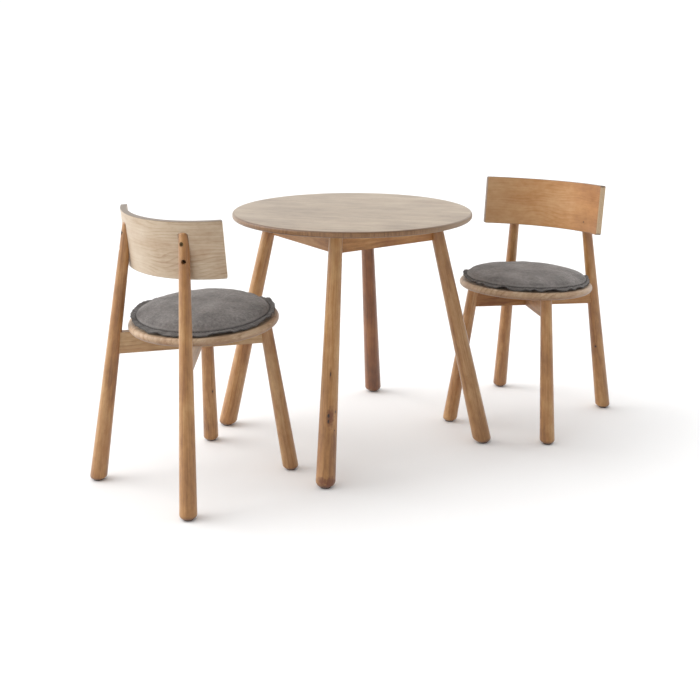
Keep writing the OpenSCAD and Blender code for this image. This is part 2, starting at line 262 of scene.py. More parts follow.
def wood(name, light, mid, dark, seed, turn=None, pith=(0.11, 0.05), rings=150.0, waver=1.0, figure=1.0,
         lines=1.0, blotch=1.0, band=1.0, red=0.3, painted_light_drift=0.0, rough=0.46, coat=0.0, foot=0.0, rim=0.0,
         painted_under_shade=0.0, plies=0, knots=(), stains=()):
    """Oiled wood, with its grain along X. The coordinate is the mesh's "grain" attribute, or for a CAD piece
    its own place, turned by turn degrees about Z. pith is where the trunk's axis lies.
    figure, lines, blotch, band and red set how strong the rings, fine grain, cloudy patches, broad streaks
    and heartwood are, painted_light_drift how much darker each metre along the grain is, a painted gradient
    of light and shade, and coat how much satin lacquer lies over it. foot is the length of a leg's foot that
    is painted darker, as if in contact shade, over a little darker end grain; rim the radius where a round
    top's edge starts, and painted_under_shade the thickness of a board whose lower edge has painted shade. A
    knot or a stain is (x, y, z, size, stretch along the grain)."""
    w = Material(name)
    if turn is None:
        base = w.new("Attribute", {"attribute_name": "grain"}).outputs["Vector"]
    else:
        base = w.new("Mapping", {"vector_type": "TEXTURE"}, Vector=w.new("TexCoord").outputs["Object"],
                     Rotation=(0, 0, math.radians(turn))).outputs[0]
    co = w.vmath("ADD", base, (seed * 1.37, seed * 0.61, seed * 0.29))

    def grainy(along, across, detail=3.0, rough=0.6, scale=1.0):
        return w.stretched(co, (along, across, across), detail, rough, scale)

    # the trunk's axis wanders, so that the rings show as long uneven arches
    wander = w.new("TexNoise", Vector=w.vmath("MULTIPLY", co, (3.6, 7.0, 7.0)), Scale=1.0, Detail=2.0,
                   Roughness=0.5).outputs[1]
    wander = w.vmath("SUBTRACT", wander, (0.5, 0.5, 0.5))
    wander = w.vmath("MULTIPLY", wander, (0.0, 0.07 * waver, 0.07 * waver))
    _, y, z = w.new("SeparateXYZ", Vector=w.vmath("ADD", base, wander)).outputs
    r = w.hypot(w.add(y, pith[0]), w.add(z, pith[1]))
    fine = grainy(26.0, 110.0)
    r = w.add(w.mul(r, rings), w.mul(fine, 0.5))
    ring = w.ramp(w.math("FRACT", r), (0.0, 0.0), (0.55, 0.16), (0.88, 1.0), (1.0, 0.0))
    fade = w.ramp(grainy(9.0, 40.0, 2.0, 0.5), (0.38, 0.15), (0.62, 1.0))
    ring = w.mul(w.sub(ring, 0.22), fade)
    streak = grainy(9.0, 420.0, 4.0)
    broad = grainy(5.0, 42.0, rough=0.55)
    patch = grainy(10.0, 16.0, rough=0.55)
    small = grainy(55.0, 120.0)
    tone = w.add(w.mul(ring, 0.36 * figure), 0.5)
    for part, weight in ((streak, 0.72 * lines), (broad, 0.9 * blotch * band), (patch, 1.15 * blotch),
                         (small, 0.5 * blotch)):
        tone = w.vary(tone, part, weight)
    x, y, z = w.new("SeparateXYZ", Vector=base).outputs
    # painted light: the tone gets lighter or darker along the grain, standing in for how the light falls
    # along the piece
    if painted_light_drift:
        tone = w.add(tone, w.mul(x, painted_light_drift))
    col = w.ramp(tone, (0.05, light), (0.5, mid), (0.95, dark))
    # reddish heartwood drifts in and out
    heart = w.ramp(grainy(6.0, 21.0, 2.0, 0.5, 1.3), (0.48, 0.0), (0.70, red))
    col = w.mix(heart, col, shade(mid, 0.80, 0.58, 0.44))
    # open pores: short dark dashes along the grain
    pore = w.new("TexVoronoi", Vector=w.vmath("MULTIPLY", co, (110.0, 1300.0, 1300.0)), Scale=1.0).outputs[0]
    gate = grainy(40.0, 160.0, 2.0, 0.5)
    pore = w.mul(w.ramp(pore, (0.0, 1.0), (0.18, 1.0), (0.32, 0.0)), w.ramp(gate, (0.46, 0.0), (0.66, 1.0)))
    col = w.mix(w.mul(pore, 0.38 * lines), col, shade(dark, 0.50, 0.42, 0.36))
    if foot:
        # painted shade: the foot darkens towards its end as if in contact shadow on the floor, over a little
        # darker end grain
        low = w.ramp(w.vary(w.math("DIVIDE", x, foot), small, 0.6), (0.15, 0.92), (0.42, 0.55), (1.0, 0.0))
        col = w.mix(low, col, shade(dark, 0.42, 0.30, 0.22))
    if rim:
        col = sawn_rim(w, col, base, (x, y, z), mid, dark, rim)
    if painted_under_shade:
        # painted shade: the underside and the lower part of the round edge are darker, as if they lay in
        # shadow
        low = w.ramp(w.math("DIVIDE", z, painted_under_shade), (0.05, 0.72), (0.34, 0.42), (0.62, 0.0))
        col = w.mix(low, col, shade(dark, 0.50, 0.36, 0.26))
    for mark in stains:
        d = w.spot(base, mark, 220, 3.0, 1.1)
        col = w.mix(w.ramp(d, (0.35, 0.8), (1.0, 0.0)), col, shade(dark, 0.72, 0.42, 0.26))
    for i, mark in enumerate(knots):
        d = w.spot(base, mark, 700 + 60 * i, 2.0, 0.9)
        core = w.ramp(d, (0.0, 1.0), (0.62, 0.95), (0.95, 0.12), (1.0, 0.0))
        halo = w.ramp(w.mul(d, 0.4), (0.25, 0.5), (1.0, 0.0))
        col = w.mix(halo, col, shade(dark, 0.75, 0.66, 0.55))
        col = w.mix(core, col, KNOT_BLACK)
    height = w.add(w.mul(streak, 0.35), w.mul(pore, -0.8))
    if plies:
        col, height = ply_edges(w, col, height, base, mid, dark, plies)
    rough = w.add(w.mul(broad, 0.14), w.add(w.mul(pore, 0.15), rough - 0.07))
    soft_edges = w.new("Bevel", {"samples": 4}, Radius=0.0007).outputs[0]
    return w.shader(Base_Color=col, Roughness=rough, Normal=w.bump(height, 0.16, 0.0004, Normal=soft_edges),
                    IOR=1.5, Specular_IOR_Level=0.55, Sheen_Weight=0.30 + 0.8 * coat,
                    Sheen_Roughness=0.40 - 0.24 * coat, Coat_Weight=coat, Coat_Roughness=0.42)


def leg_wood(name, seed, knots=(), stains=(), tones=WARM, foot=0.009):
    return wood(name, *tones, seed, pith=(0.05 + 0.02 * math.sin(seed), 0.03), rings=120, waver=0.5,
                figure=0.6, coat=0.5, foot=foot, knots=knots, stains=stains)


# ---- mesh helpers ---------------------------------------------------------------------------
def set_vectors(ob, key, values):
    a = ob.data.attributes.new(key, "FLOAT_VECTOR", "POINT")
    a.data.foreach_set("vector", np.asarray(values, np.float32).ravel())


def set_material(ob, mat):
    ob.data.materials.clear()
    ob.data.materials.append(mat)


def make(name, verts, faces, body, node, slot, mat, vectors, place):
    """A smooth piece that rides on a body. node is the CAD node it stands for, if any, and vectors its point
    attributes."""
    me = bpy.data.meshes.new(name)
    me.from_pydata([tuple(v) for v in verts], [], [tuple(f) for f in faces])
    me.validate()
    ob = add_object(name, me)
    me.materials.append(mat)
    for key, values in vectors.items():
        set_vectors(ob, key, values)
    for p in me.polygons:
        p.use_smooth = True
    ob.matrix_world = place
    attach(ob, body)
    if node:
        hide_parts(node)
    return ob


def keep_result(ob):
    """Keeps what the modifiers make as the piece's own mesh."""
    dg = bpy.context.evaluated_depsgraph_get()
    new = bpy.data.meshes.new_from_object(ob.evaluated_get(dg))
    ob.modifiers.clear()
    ob.data = new


def sharp(ob, degrees=40):
    """Edges steeper than this stay crisp."""
    bm = bmesh.new(); bm.from_mesh(ob.data)
    lim = math.radians(degrees)
    for e in bm.edges:
        e.smooth = not (len(e.link_faces) == 2 and e.calc_face_angle(0) > lim)
    bm.to_mesh(ob.data); bm.free()


def ease_edges(ob):
    """Rounds the edges of a flat-sided CAD piece a little."""
    weld = ob.modifiers.new("weld", "WELD")
    weld.merge_threshold = 0.00001
    bevel = ob.modifiers.new("ease", "BEVEL")
    bevel.width, bevel.segments, bevel.limit_method, bevel.angle_limit = 0.0008, 2, "ANGLE", math.radians(50)
    bevel.use_clamp_overlap = True


def rings_mesh(loops):
    """Quads between equal loops of points; flat caps at both ends."""
    n = len(loops[0])
    verts = [p for loop in loops for p in loop]
    faces = []
    for i in range(len(loops) - 1):
        for j in range(n):
            k = (j + 1) % n
            faces.append((i * n + j, i * n + k, (i + 1) * n + k, (i + 1) * n + j))
    faces.append(tuple(range(n))[::-1])
    faces.append(tuple((len(loops) - 1) * n + j for j in range(n)))
    return verts, faces


def lathe(profile, seg, place=Matrix.Identity(4)):
    """profile: (r, z) pairs from the bottom to the top, none of them on the axis."""
    loops = [[place @ Vector((r * math.cos(2 * math.pi * j / seg), r * math.sin(2 * math.pi * j / seg), z))
              for j in range(seg)] for r, z in profile]
    return rings_mesh(loops)


def board_profile(radii, edge, thick):
    """A round board: flat underneath, an edge, and flat on top. radii are the loops on the flat faces."""
    return [(r, 0.0) for r in radii] + edge + [(r, thick) for r in radii[::-1]]


def leg_mesh(foot, head, r0, r1, foot_round, top=None, tip=0.0, seg=96, count=64, cut=None):
    """A taper along foot-head, level and rounded at the foot. It ends level at the height top, or else square
    at the head, rounded by tip. cut may move its points."""
    axis = (head - foot).normalized()
    u = axis.cross(UP).normalized()
    v = axis.cross(u)
    total = (head - foot).length
    s_low = GLIDE_T / axis.z
    s_high = top / axis.z if top else total
    marks = []  # how far along the axis, inset, how square to the axis
    for i in range(15):
        f = i / 14
        h = foot_round * (1 - math.cos(f * math.pi / 2))
        marks.append((s_low + h / axis.z, foot_round * (1 - math.sin(f * math.pi / 2)), 0.0))
    a, b = marks[-1][0], s_high - tip
    for i in range(1, count + 1):
        f = i / count
        marks.append((a + (b - a) * f, 0.0, 0.0 if top else min(1, f * 1.6)))
    if tip:
        for i in range(1, 12):
            f = i / 11
            marks.append((b + tip * math.sin(f * math.pi / 2), tip * (1 - math.cos(f * math.pi / 2)), 1.0))
    loops = []
    for s, inset, square in marks:
        n = UP.lerp(axis, square * square * (3 - 2 * square)).normalized()
        c = foot + axis * s
        loop = []
        for j in range(seg):
            w = 2 * math.pi * j / seg
            side = u * math.cos(w) + v * math.sin(w)
            shift = 0.0
            for _ in range(2):  # a slanted loop meets the taper at other radii
                r = r0 + (r1 - r0) * (s + shift) / total - inset
                shift = -(side * r).dot(n) / axis.dot(n)
            p = c + side * r + axis * shift
            loop.append(cut(p) if cut else p)
        loops.append(loop)
    return rings_mesh(loops)


def along_grain(verts, foot, head, spin):
    """Wood coordinates for a leg: X runs along it."""
    axis = (head - foot).normalized()
    u = axis.cross(UP).normalized()
    v = axis.cross(u)
    cs, sn = math.cos(spin), math.sin(spin)
    out = []
    for p in verts:
        d = Vector(p) - foot
        x, y, z = d.dot(axis), d.dot(u), d.dot(v)
        out.append((x, y * cs - z * sn, y * sn + z * cs))
    return out


# ---- table ----------------------------------------------------------------------------------
arc = [(TOP_R - TOP_ROUND + TOP_ROUND * math.sin(t), TOP_ROUND - TOP_ROUND * math.cos(t))
       for t in np.linspace(0, math.pi / 2, 10)]
arc += [(r, TOP_T - z) for r, z in arc[::-1]]
verts, faces = lathe(board_profile([0.01, 0.06, 0.12, 0.18, 0.23], arc, TOP_T), 192)
cs, sn = math.cos(math.radians(-50)), math.sin(math.radians(-50))  # the way the boards run
make("table_top_board", verts, faces, "table", "table_top", "table_top_wood",
     wood("wood_table_top", *TOP, 3.1, pith=(0.4, 0.09), rings=60, waver=1.8, figure=0.6, lines=1.1,
          blotch=1.15, band=0.75, red=0.15, rough=0.42, rim=0.2454),
     {"grain": [(p.x * cs + p.y * sn, -p.x * sn + p.y * cs, p.z) for p in verts]},
     Matrix.Translation(TABLE + UP * TOP_UNDER))

# small dark knots and a reddish patch at the foot of the nearest leg
NEAR_KNOTS = ((0.224, -0.016, 0.005, 0.0012, 5.0), (0.143, -0.017, 0.006, 0.0026, 1.8),
              (0.132, -0.017, 0.006, 0.0020, 2.2), (0.151, -0.015, -0.009, 0.0015, 2.0),
              (0.114, -0.0165, -0.008, 0.0010, 1.4))
NEAR_STAINS = ((0.010, -0.018, -0.003, 0.017, 1.0), (0.014, -0.012, 0.012, 0.013, 0.8),
               (0.013, -0.013, -0.013, 0.010, 0.7), (0.140, -0.017, 0.002, 0.009, 3.0))
# the back right leg's darker red tones are partly painted shade, as it stands in shade under the table, and
# partly its own redder wood
LEG_TONES = {"back_right": RED, "front_right": tint(WARM, SHADED_SIDE)}
for name, az in (("front_left", -135), ("front_right", -45), ("back_left", 135), ("back_right", 45)):
    out = Vector((math.cos(math.radians(az)), math.sin(math.radians(az)), 0))
    foot, head = out * LEG_FOOT_OUT, out * LEG_HEAD_OUT + UP * TOP_UNDER
    verts, faces = leg_mesh(foot, head, *LEG_RADII, LEG_ROUND, top=TOP_UNDER)
    knots, stains = (NEAR_KNOTS, NEAR_STAINS) if name == "front_left" else ((), ())
    tones = LEG_TONES.get(name, WARM)
    ob = make("table_leg_" + name + "_turned", verts, faces, "table", "table_leg_" + name, "leg_wood",
              leg_wood("wood_table_leg_" + name, az * 0.071 + 11, knots, stains, tones, 0.011),
              {"grain": along_grain(verts, foot, head, az * 0.9)}, Matrix.Translation(TABLE))
    sharp(ob)

for name, turn in (("front", 0), ("back", 180), ("left", -90), ("right", 90)):
    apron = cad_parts["apron_" + name]
    ease_edges(apron)
    set_material(apron, wood("wood_apron_" + name, *tint(WARM, LIT_SIDE), turn * 0.013 + 5, turn,
                             pith=(0.3, 0.2), rings=90, figure=0.8))


# ---- chairs ---------------------------------------------------------------------------------
def under_seat(p):
    """Flattens a front leg onto the seat's underside."""
    q = SEAT_INV @ p
    if q.z > -0.0001:
        q.z = -0.0001
        return SEAT_PLANE @ q
    return p


def off_panel(p):
    """Flattens a back leg onto the panel's rear face."""
    q = PANEL_INV @ p
    r = math.hypot(q.x, q.y)
    if q.z > -PANEL_H / 2 - 0.006 and r < PANEL_R + 0.0001:
        q.x, q.y = q.x / r * (PANEL_R + 0.0001), q.y / r * (PANEL_R + 0.0001)
        return PANEL_AXIS @ q
    return p


def back_bolts(s):
    """Frames on the panel's rear face at the two bolts of one leg, +Z out of the rear."""
    for z in BOLT_HEIGHTS:
        x = (BACK_FOOT + (BACK_HEAD - BACK_FOOT) * z / BACK_HEAD.z).x
        yield (PANEL_AXIS @ Matrix.Rotation(s * math.asin(x / PANEL_R), 4, "Z") @
               Matrix.Translation((0, -PANEL_R, (z - PANEL_MID) / math.cos(LEAN) - 0.0012)) @
               Matrix.Rotation(math.radians(90), 4, "X"))


def drill(ob, places, r, span):
    """Cuts round holes into a piece, along Z of each place from span[0] to span[1]."""
    for place in places:
        verts, faces = lathe([(r, span[0]), (r, span[1])], 48, place)
        me = bpy.data.meshes.new("cutter")
        me.from_pydata([tuple(p) for p in verts], [], faces)
        cutter = add_object("cutter", me)
        cutter.matrix_world = ob.matrix_world
        cut = ob.modifiers.new("drill", "BOOLEAN")
        cut.operation, cut.solver, cut.object = "DIFFERENCE", "EXACT", cutter
        bpy.context.view_layer.update()
        keep_result(ob)
        bpy.data.objects.remove(cutter); bpy.data.meshes.remove(me)


def panel_mesh(pale_right):
    """The bent backrest panel: its points and faces, and the "ply" values that ply_edges reads."""
    half_a, half_h, e = PANEL_R * PANEL_HALF, PANEL_H / 2, PANEL_EASE
    nu, nv = 72, 26
    n, m = nu + 8, nv + 8  # with four steps round each corner

    def steps(half, c, count):
        return [-half + c * i / 4 for i in range(4)] + list(np.linspace(-half + c, half - c, count)) + \
            [half - c + c * (i + 1) / 4 for i in range(4)]

    def grid(inset, depth):
        A, H, c = half_a - inset, half_h - inset, PANEL_CORNER - inset
        out = []
        for y0 in steps(H, c, nv):
            for x in steps(A, c, nu):
                y = y0
                ex, ey = abs(x) - (A - c), abs(y) - (H - c)
                if ex > 0 and ey > 0:
                    k = max(ex, ey) / math.hypot(ex, ey)
                    x, y = math.copysign(A - c + ex * k, x), math.copysign(H - c + ey * k, y)
                ang, rad = x / PANEL_R, PANEL_R - depth
                out.append(Vector((rad * math.sin(ang), -rad * math.cos(ang), y)))
        return out

    layers = [(e, 0), (e * 0.3, e * 0.3), (0, e)] + [(0, PANEL_T * k / 8) for k in range(1, 8)] + \
             [(0, PANEL_T - e), (e * 0.3, PANEL_T - e * 0.3), (e, PANEL_T)]
    rim = list(range(n)) + [i * n + n - 1 for i in range(1, m)] + \
        [(m - 1) * n + j for j in range(n - 2, -1, -1)] + [i * n for i in range(m - 2, 0, -1)]

    def pale(k):
        """Whether a rim point is on an end that stays pale."""
        return (k % n == 0 or pale_right and k % n == n - 1) and 3 < k // n < m - 4

    def band(old, new):
        return [(old[k + 1 - len(rim)], old[k], new[k], new[k + 1 - len(rim)]) for k in range(len(rim))]

    cells = [(i * n + j, i * n + j + 1, (i + 1) * n + j + 1, (i + 1) * n + j)
             for i in range(m - 1) for j in range(n - 1)]
    verts = grid(*layers[0])
    ply = [(0.0, 0.0, 0.0)] * len(verts)
    faces = list(cells)
    ring = rim
    for inset, depth in layers[1:-1]:
        g = grid(inset, depth)
        new = list(range(len(verts), len(verts) + len(rim)))
        verts += [g[k] for k in rim]
        ply += [(depth / PANEL_T, 1.0, float(pale(k))) for k in rim]
        faces += band(ring, new)
        ring = new
    front, start = grid(*layers[-1]), len(verts)
    verts += front
    ply += [(1.0, 0.0, 0.0)] * len(front)
    faces += [(start + p, start + s, start + r, start + q) for p, q, r, s in cells]
    faces += band(ring, [start + k for k in rim])
    return verts, faces, ply


SEED = {"a": 20, "b": 47}
CHAIR_KNOTS = {("a", "front", "left"): ((0.125, -0.009, 0.0115, 0.0016, 2.0),),
               ("b", "back", "left"): ((0.161, 0.0137, -0.005, 0.0024, 1.3),)}
CHAIR_TONES = {("a", "front", "right"): tint(WARM, SHADED_SIDE)}
RAIL_TONES = {"a": MILD, "b": WARM}
# the drift values paint light and shade along each panel: a's right end darker, b's right end lighter
PANEL_LOOK = {"a": dict(figure=0.62, lines=0.7, blotch=0.75, band=0.7, painted_light_drift=0.6, red=0.28),
              "b": dict(figure=0.36, lines=0.4, blotch=0.95, band=0.4, painted_light_drift=-1.8, red=0.2,
                        knots=((-0.101, -0.031, -0.012, 0.0014, 1.6),))}


def chair_leg(c, end, side, seed, mesh, vectors):
    """A turned leg. end is front or back."""
    P, key = "chair_" + c + "_" + end + "_leg_" + side, (c, end, side)
    return make(P + "_turned", *mesh, "chair_" + c, P, "leg_wood",
                leg_wood("wood_" + P, seed, CHAIR_KNOTS.get(key, ()), tones=CHAIR_TONES.get(key, WARM)),
                vectors, chair_matrix(c))


for c in "ab":
    M, P, body, sd = chair_matrix(c), "chair_" + c + "_", "chair_" + c, SEED[c]
    half = SEAT_T / 2
    arc = [(SEAT_R - half + half * math.cos(t), half + half * math.sin(t))
           for t in np.linspace(-math.pi / 2, math.pi / 2, 17)]
    verts, faces = lathe(board_profile([1e-4, 0.03, 0.07, 0.11], arc, SEAT_T), 160)
    make(P + "seat_board", verts, faces, body, P + "seat", "seat_wood",
         wood("wood_seat_" + c, *PALE, sd + 1.7, pith=(0.2, 0.12), rings=95, waver=0.9, blotch=1.2,
              painted_under_shade=SEAT_T), {"grain": [(p.y, p.x, p.z) for p in verts]}, M @ SEAT_PLANE)
    for side, s in (("left", -1), ("right", 1)):
        flip = Vector((s, 1, 1))
        foot, head = FRONT_FOOT * flip, FRONT_HEAD * flip
        verts, faces = leg_mesh(foot, head, *FRONT_RADII, CHAIR_FOOT_ROUND, top=FRONT_TOP, cut=under_seat)
        sharp(chair_leg(c, "front", side, sd + 3.3 * s, (verts, faces),
                        {"grain": along_grain(verts, foot, head, sd + s)}))
        foot, head = BACK_FOOT * flip, BACK_HEAD * flip
        mesh = leg_mesh(foot, head, *BACK_RADII, CHAIR_FOOT_ROUND, tip=BACK_TIP, seg=128, count=110,
                        cut=off_panel)
        ob = chair_leg(c, "back", side, sd + 7.9 + 2.1 * s, mesh, {})
        drill(ob, back_bolts(s), BOLT_R, BOLT_SPAN)
        set_vectors(ob, "grain", along_grain([v.co for v in ob.data.vertices], foot, head, sd * 1.3 + s))
        sharp(ob, 35)
    verts, faces, ply = panel_mesh(c == "a")
    unrolled = [(PANEL_R * math.atan2(p.x, -p.y), p.z, math.hypot(p.x, p.y) - PANEL_R) for p in verts]
    make(P + "backrest_panel", verts, faces, body, P + "backrest", "panel_wood",
         wood("wood_panel_" + c, *PANEL[c], sd + 0.4, pith=(0.12, 0.035), rings=145, waver=1.5, plies=8,
              **PANEL_LOOK[c]), {"grain": unrolled, "ply": ply}, M @ PANEL_AXIS)
    for name, turn in RAILS:
        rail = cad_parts[P + name]
        ease_edges(rail)
        set_material(rail, wood("wood_" + P + name, *RAIL_TONES[c], sd + turn * 0.01,
                                CHAIRS[c][1] - 90 + turn, pith=(0.3, 0.15), rings=100, figure=0.8))

# ---- cushions -------------------------------------------------------------------------------
FLANGE_R, SEAM_Z = 0.1393, 0.0078
SHEET_T, STITCHES, STITCH_AT = 0.00085, 144, 0.22  # the border's layers; where the stitches run across it
MOVE_CAP, FRAMES = 0.0035, 20  # of the cloth's run
GREY = srgb(123, 118, 115)
CUSHION_SEED = {"a": 3.7, "b": 8.2}
# for each cushion: radius of the seam, height of the middle, heights of the seam and of the border's outer
# edge round the rim, as (degrees anticlockwise from the direction TO_FRONT, millimetres)
TO_FRONT = {c: math.radians({"a": -116, "b": -134}[c] - (CHAIRS[c][1] - 90)) for c in "ab"}
CUSHION = {"a": (0.1315, 0.0285, ((-180, 7.5), (-120, 9), (-90, 9), (0, 7), (90, 8)),
                 ((-180, 5.5), (-153, 9.5), (-127, 15), (-90, 12.5), (-60, 7.5), (-30, 4.6), (0, 3.4),
                  (30, 4.4), (60, 7), (90, 11.5), (110, 12.5), (130, 5.5))),
           "b": (0.1345, 0.0265, ((-180, 6), (-90, 8), (0, 6.8), (90, 7.5)),
                 ((-180, 4), (-120, 5), (-98, 11), (-85, 9.5), (-60, 5.2), (0, 3.4), (60, 4.6), (88, 8),
                  (102, 9.5), (122, 4)))}


def level(table, angle):
    """Height in metres at an angle round the rim, eased between the table's entries."""
    t = math.degrees(angle) % 360
    marks = sorted((d % 360, h) for d, h in table)
    marks = [(marks[-1][0] - 360, marks[-1][1])] + marks + [(marks[0][0] + 360, marks[0][1])]
    for (d0, h0), (d1, h1) in zip(marks, marks[1:]):
        if d0 <= t <= d1:
            f = (t - d0) / (d1 - d0)
            return (h0 + (h1 - h0) * f * f * (3 - 2 * f)) / 1000


def disc():
    """A disc of radius 1 in quads: a grid in the middle, rings round it. Gives points, faces and the rim."""
    n, m, core, bulge = 34, 17, 0.5, 0.18  # cells across the grid, rings, half the grid's width
    pts, at = [], {}
    for j in range(n + 1):
        for i in range(n + 1):
            x, y = 2 * i / n - 1, 2 * j / n - 1
            at[i, j] = len(pts)
            pts.append((core * x * (1 + bulge * (1 - y * y)), core * y * (1 + bulge * (1 - x * x))))
    faces = [(at[i, j], at[i + 1, j], at[i + 1, j + 1], at[i, j + 1]) for j in range(n) for i in range(n)]
    ring = [at[i, 0] for i in range(n)] + [at[n, j] for j in range(n)] + \
           [at[i, n] for i in range(n, 0, -1)] + [at[0, j] for j in range(n, 0, -1)]
    inner, size = [pts[k] for k in ring], len(ring)
    for k in range(1, m + 1):
        f = 1 - (1 - k / m) ** 1.45
        new = list(range(len(pts), len(pts) + size))
        for q, (x, y) in enumerate(inner):
            w = math.radians(-135 + 360 * q / size)
            pts.append((x + (math.cos(w) - x) * f, y + (math.sin(w) - y) * f))
        faces += [(ring[q], new[q], new[(q + 1) % size], ring[(q + 1) % size]) for q in range(size)]
        ring = new
    return pts, faces, ring


def cushion_blank(c):
    """Two round sheets joined at the rim, close to the filled shape, and the cloth's own flat coordinates.
    Gives points, faces, flat coordinates, the rim, and how many points the upper sheet has."""
    (radius, dome, seam, _), seed = CUSHION[c], CUSHION_SEED[c]
    pts, faces, rim = disc()
    on_rim = set(rim)
    verts, cloth, under = [], [], {}

    def top_height(r):
        return SEAM_Z + (dome - SEAM_Z) * max(0.0, 1 - r ** 3) ** 0.60

    def under_height(r):
        return SEAM_Z * (1 - math.sqrt(max(0.0, 1 - r ** 9)))

    def arc_table(height):
        """The length of the section's curve from the middle to each radius."""
        rs, out = [i / 400 for i in range(401)], [0.0]
        for a, b in zip(rs, rs[1:]):
            out.append(out[-1] + math.hypot((b - a) * radius, height(b) - height(a)))
        return rs, out

    def flat(x, y, table):
        r = math.hypot(x, y)
        d = float(np.interp(r, *table))
        return (x / r * d, y / r * d, 0.0) if r > 1e-6 else (0.0, 0.0, 0.0)

    def drop(x, y):
        return (level(seam, math.atan2(y, x) - TO_FRONT[c]) - SEAM_Z) * min(1.0, math.hypot(x, y)) ** 6

    upper, lower = arc_table(top_height), arc_table(under_height)
    for x, y in pts:
        r = min(1.0, math.hypot(x, y))
        lump = noise.noise(Vector((x * 3.1 + seed, y * 3.1, seed * 0.7))) * 0.0022 + \
            noise.noise(Vector((x * 9 - seed, y * 9, seed))) * 0.0008
        verts.append(Vector((x * radius, y * radius, top_height(r) + lump * (1 - r ** 4) + drop(x, y))))
        cloth.append(flat(x, y, upper))
    for k, (x, y) in enumerate(pts):
        if k in on_rim:
            under[k] = k
            continue
        under[k] = len(verts)
        z = under_height(min(1.0, math.hypot(x, y))) + drop(x, y)
        verts.append(Vector((x * radius, y * radius, max(0.0, z))))
        cloth.append(flat(x, y, lower))
    faces = faces + [tuple(under[k] for k in reversed(f)) for f in faces]
    return verts, faces, cloth, rim, len(pts)


def swell(blanks):
    """Fills the blanks with Blender's cloth, all in one run, and gives their points back."""
    obs = []
    for verts, faces, _, _, n in blanks:
        radius = max(math.hypot(v.x, v.y) for v in verts)
        me = bpy.data.meshes.new("blank")
        me.from_pydata([tuple(v) for v in verts], [], faces)
        ob = add_object("blank", me)
        hold, seam = ob.vertex_groups.new(name="hold"), ob.vertex_groups.new(name="seam")
        for k, v in enumerate(verts):
            r = math.hypot(v.x, v.y) / radius
            if k >= n and r < 0.8:  # the underside lies on the seat
                hold.add([k], 1.0, "REPLACE")
            w = max(0.0, 1 - (1 - r) / 0.07)
            if w > 0:
                seam.add([k], min(1.0, w), "REPLACE")
        cl = ob.modifiers.new("cloth", "CLOTH")
        s = cl.settings
        s.quality = 7
        s.mass = 0.3
        s.tension_stiffness = s.compression_stiffness = 18
        s.shear_stiffness = 6
        s.bending_stiffness = 0.6
        s.vertex_group_mass = "hold"
        s.pin_stiffness = 1.0
        s.vertex_group_shrink = "seam"
        s.shrink_min, s.shrink_max = -0.015, 0.06
        s.use_pressure = True
        s.uniform_pressure_force = 2.2
        s.effector_weights.gravity = 0
        cl.collision_settings.use_collision = False
        cl.collision_settings.use_self_collision = False
        cl.point_cache.frame_start, cl.point_cache.frame_end = 1, FRAMES
        obs.append(ob)
    for frame_no in range(1, FRAMES + 1):
        scene.frame_set(frame_no)
    dg = bpy.context.evaluated_depsgraph_get()
    out = []
    for ob, blank in zip(obs, blanks):
        moved = []
        for v, w in zip(blank[0], ob.evaluated_get(dg).to_mesh().vertices):
            d = w.co - v
            if d.length > MOVE_CAP:
                d = d.normalized() * MOVE_CAP
            p = v + d
            p.z = max(p.z, 0.0)
            moved.append(p)
        out.append(moved)
        bpy.data.objects.remove(ob)
    scene.frame_set(1)
    return out


def cloth_material(name, seed, light=1.0, seam_highlight=0.0):
    """Washed canvas: yarns both ways, slubs, and a soft cloudy fade, on the mesh's "cloth" attribute.
    seam_highlight is the distance from the middle at which a pale line is painted along the seam: a painted
    highlight, as if the seam's rolled shoulder caught the light."""
    w = Material(name)
    co = w.new("Attribute", {"attribute_name": "cloth"}).outputs["Vector"]
    u, v, _ = w.new("SeparateXYZ", Vector=co).outputs
    wob = w.mul(w.sub(w.noise(co, 120, 2.0), 0.5), 0.0011)
    pitch = 2 * math.pi / 0.0013
    weave = w.mul(w.math("SINE", w.mul(w.add(u, wob), pitch)), w.math("SINE", w.mul(w.add(v, wob), pitch)))
    along = w.stretched(co, (90, 1500, 1), 3.0, 0.6)
    across = w.stretched(co, (1500, 90, 1), 3.0, 0.6)
    yarn = w.add(w.mul(along, 0.5), w.mul(across, 0.5))
    cloud = w.noise(w.vmath("ADD", co, (seed, seed * 0.3, 0)), 17, 4.0, 0.62)
    speck = w.noise(w.vmath("ADD", co, (seed, seed * 0.3, 0)), 170, 3.0, 0.7)
    tone = w.add(w.mul(w.sub(yarn, 0.5), 1.7), 0.5)
    tone = w.vary(tone, cloud, 1.35)
    tone = w.vary(tone, speck, 1.1)
    tone = w.add(tone, w.mul(weave, 0.10))
    low, mid, high = [tint([GREY], k * light)[0] for k in (0.52, 1.0, 1.62)]
    col = w.ramp(tone, (0.05, low), (0.5, mid), (0.95, high))
    if seam_highlight:
        # painted highlight: a paler line along the seam, where the seam's rolled shoulder would catch the
        # light
        width = 0.006
        far = w.sub(w.vary(w.length(co), speck, 0.0016), seam_highlight - width)
        fade = w.ramp(w.mul(far, 1 / width), (0.0, 0.0), (0.45, 0.36), (0.85, 0.36), (1.0, 0.0))
        col = w.mix(fade, col, high)
    rough = w.add(0.82, w.mul(speck, 0.16))
    height = w.add(w.mul(weave, 0.5), w.mul(yarn, 1.2))
    height = w.add(height, w.mul(speck, 0.8))
    return w.shader(Base_Color=col, Roughness=rough, Normal=w.bump(height, 0.55, 0.00035),
                    Specular_IOR_Level=0.18, Sheen_Weight=0.22, Sheen_Roughness=0.45)


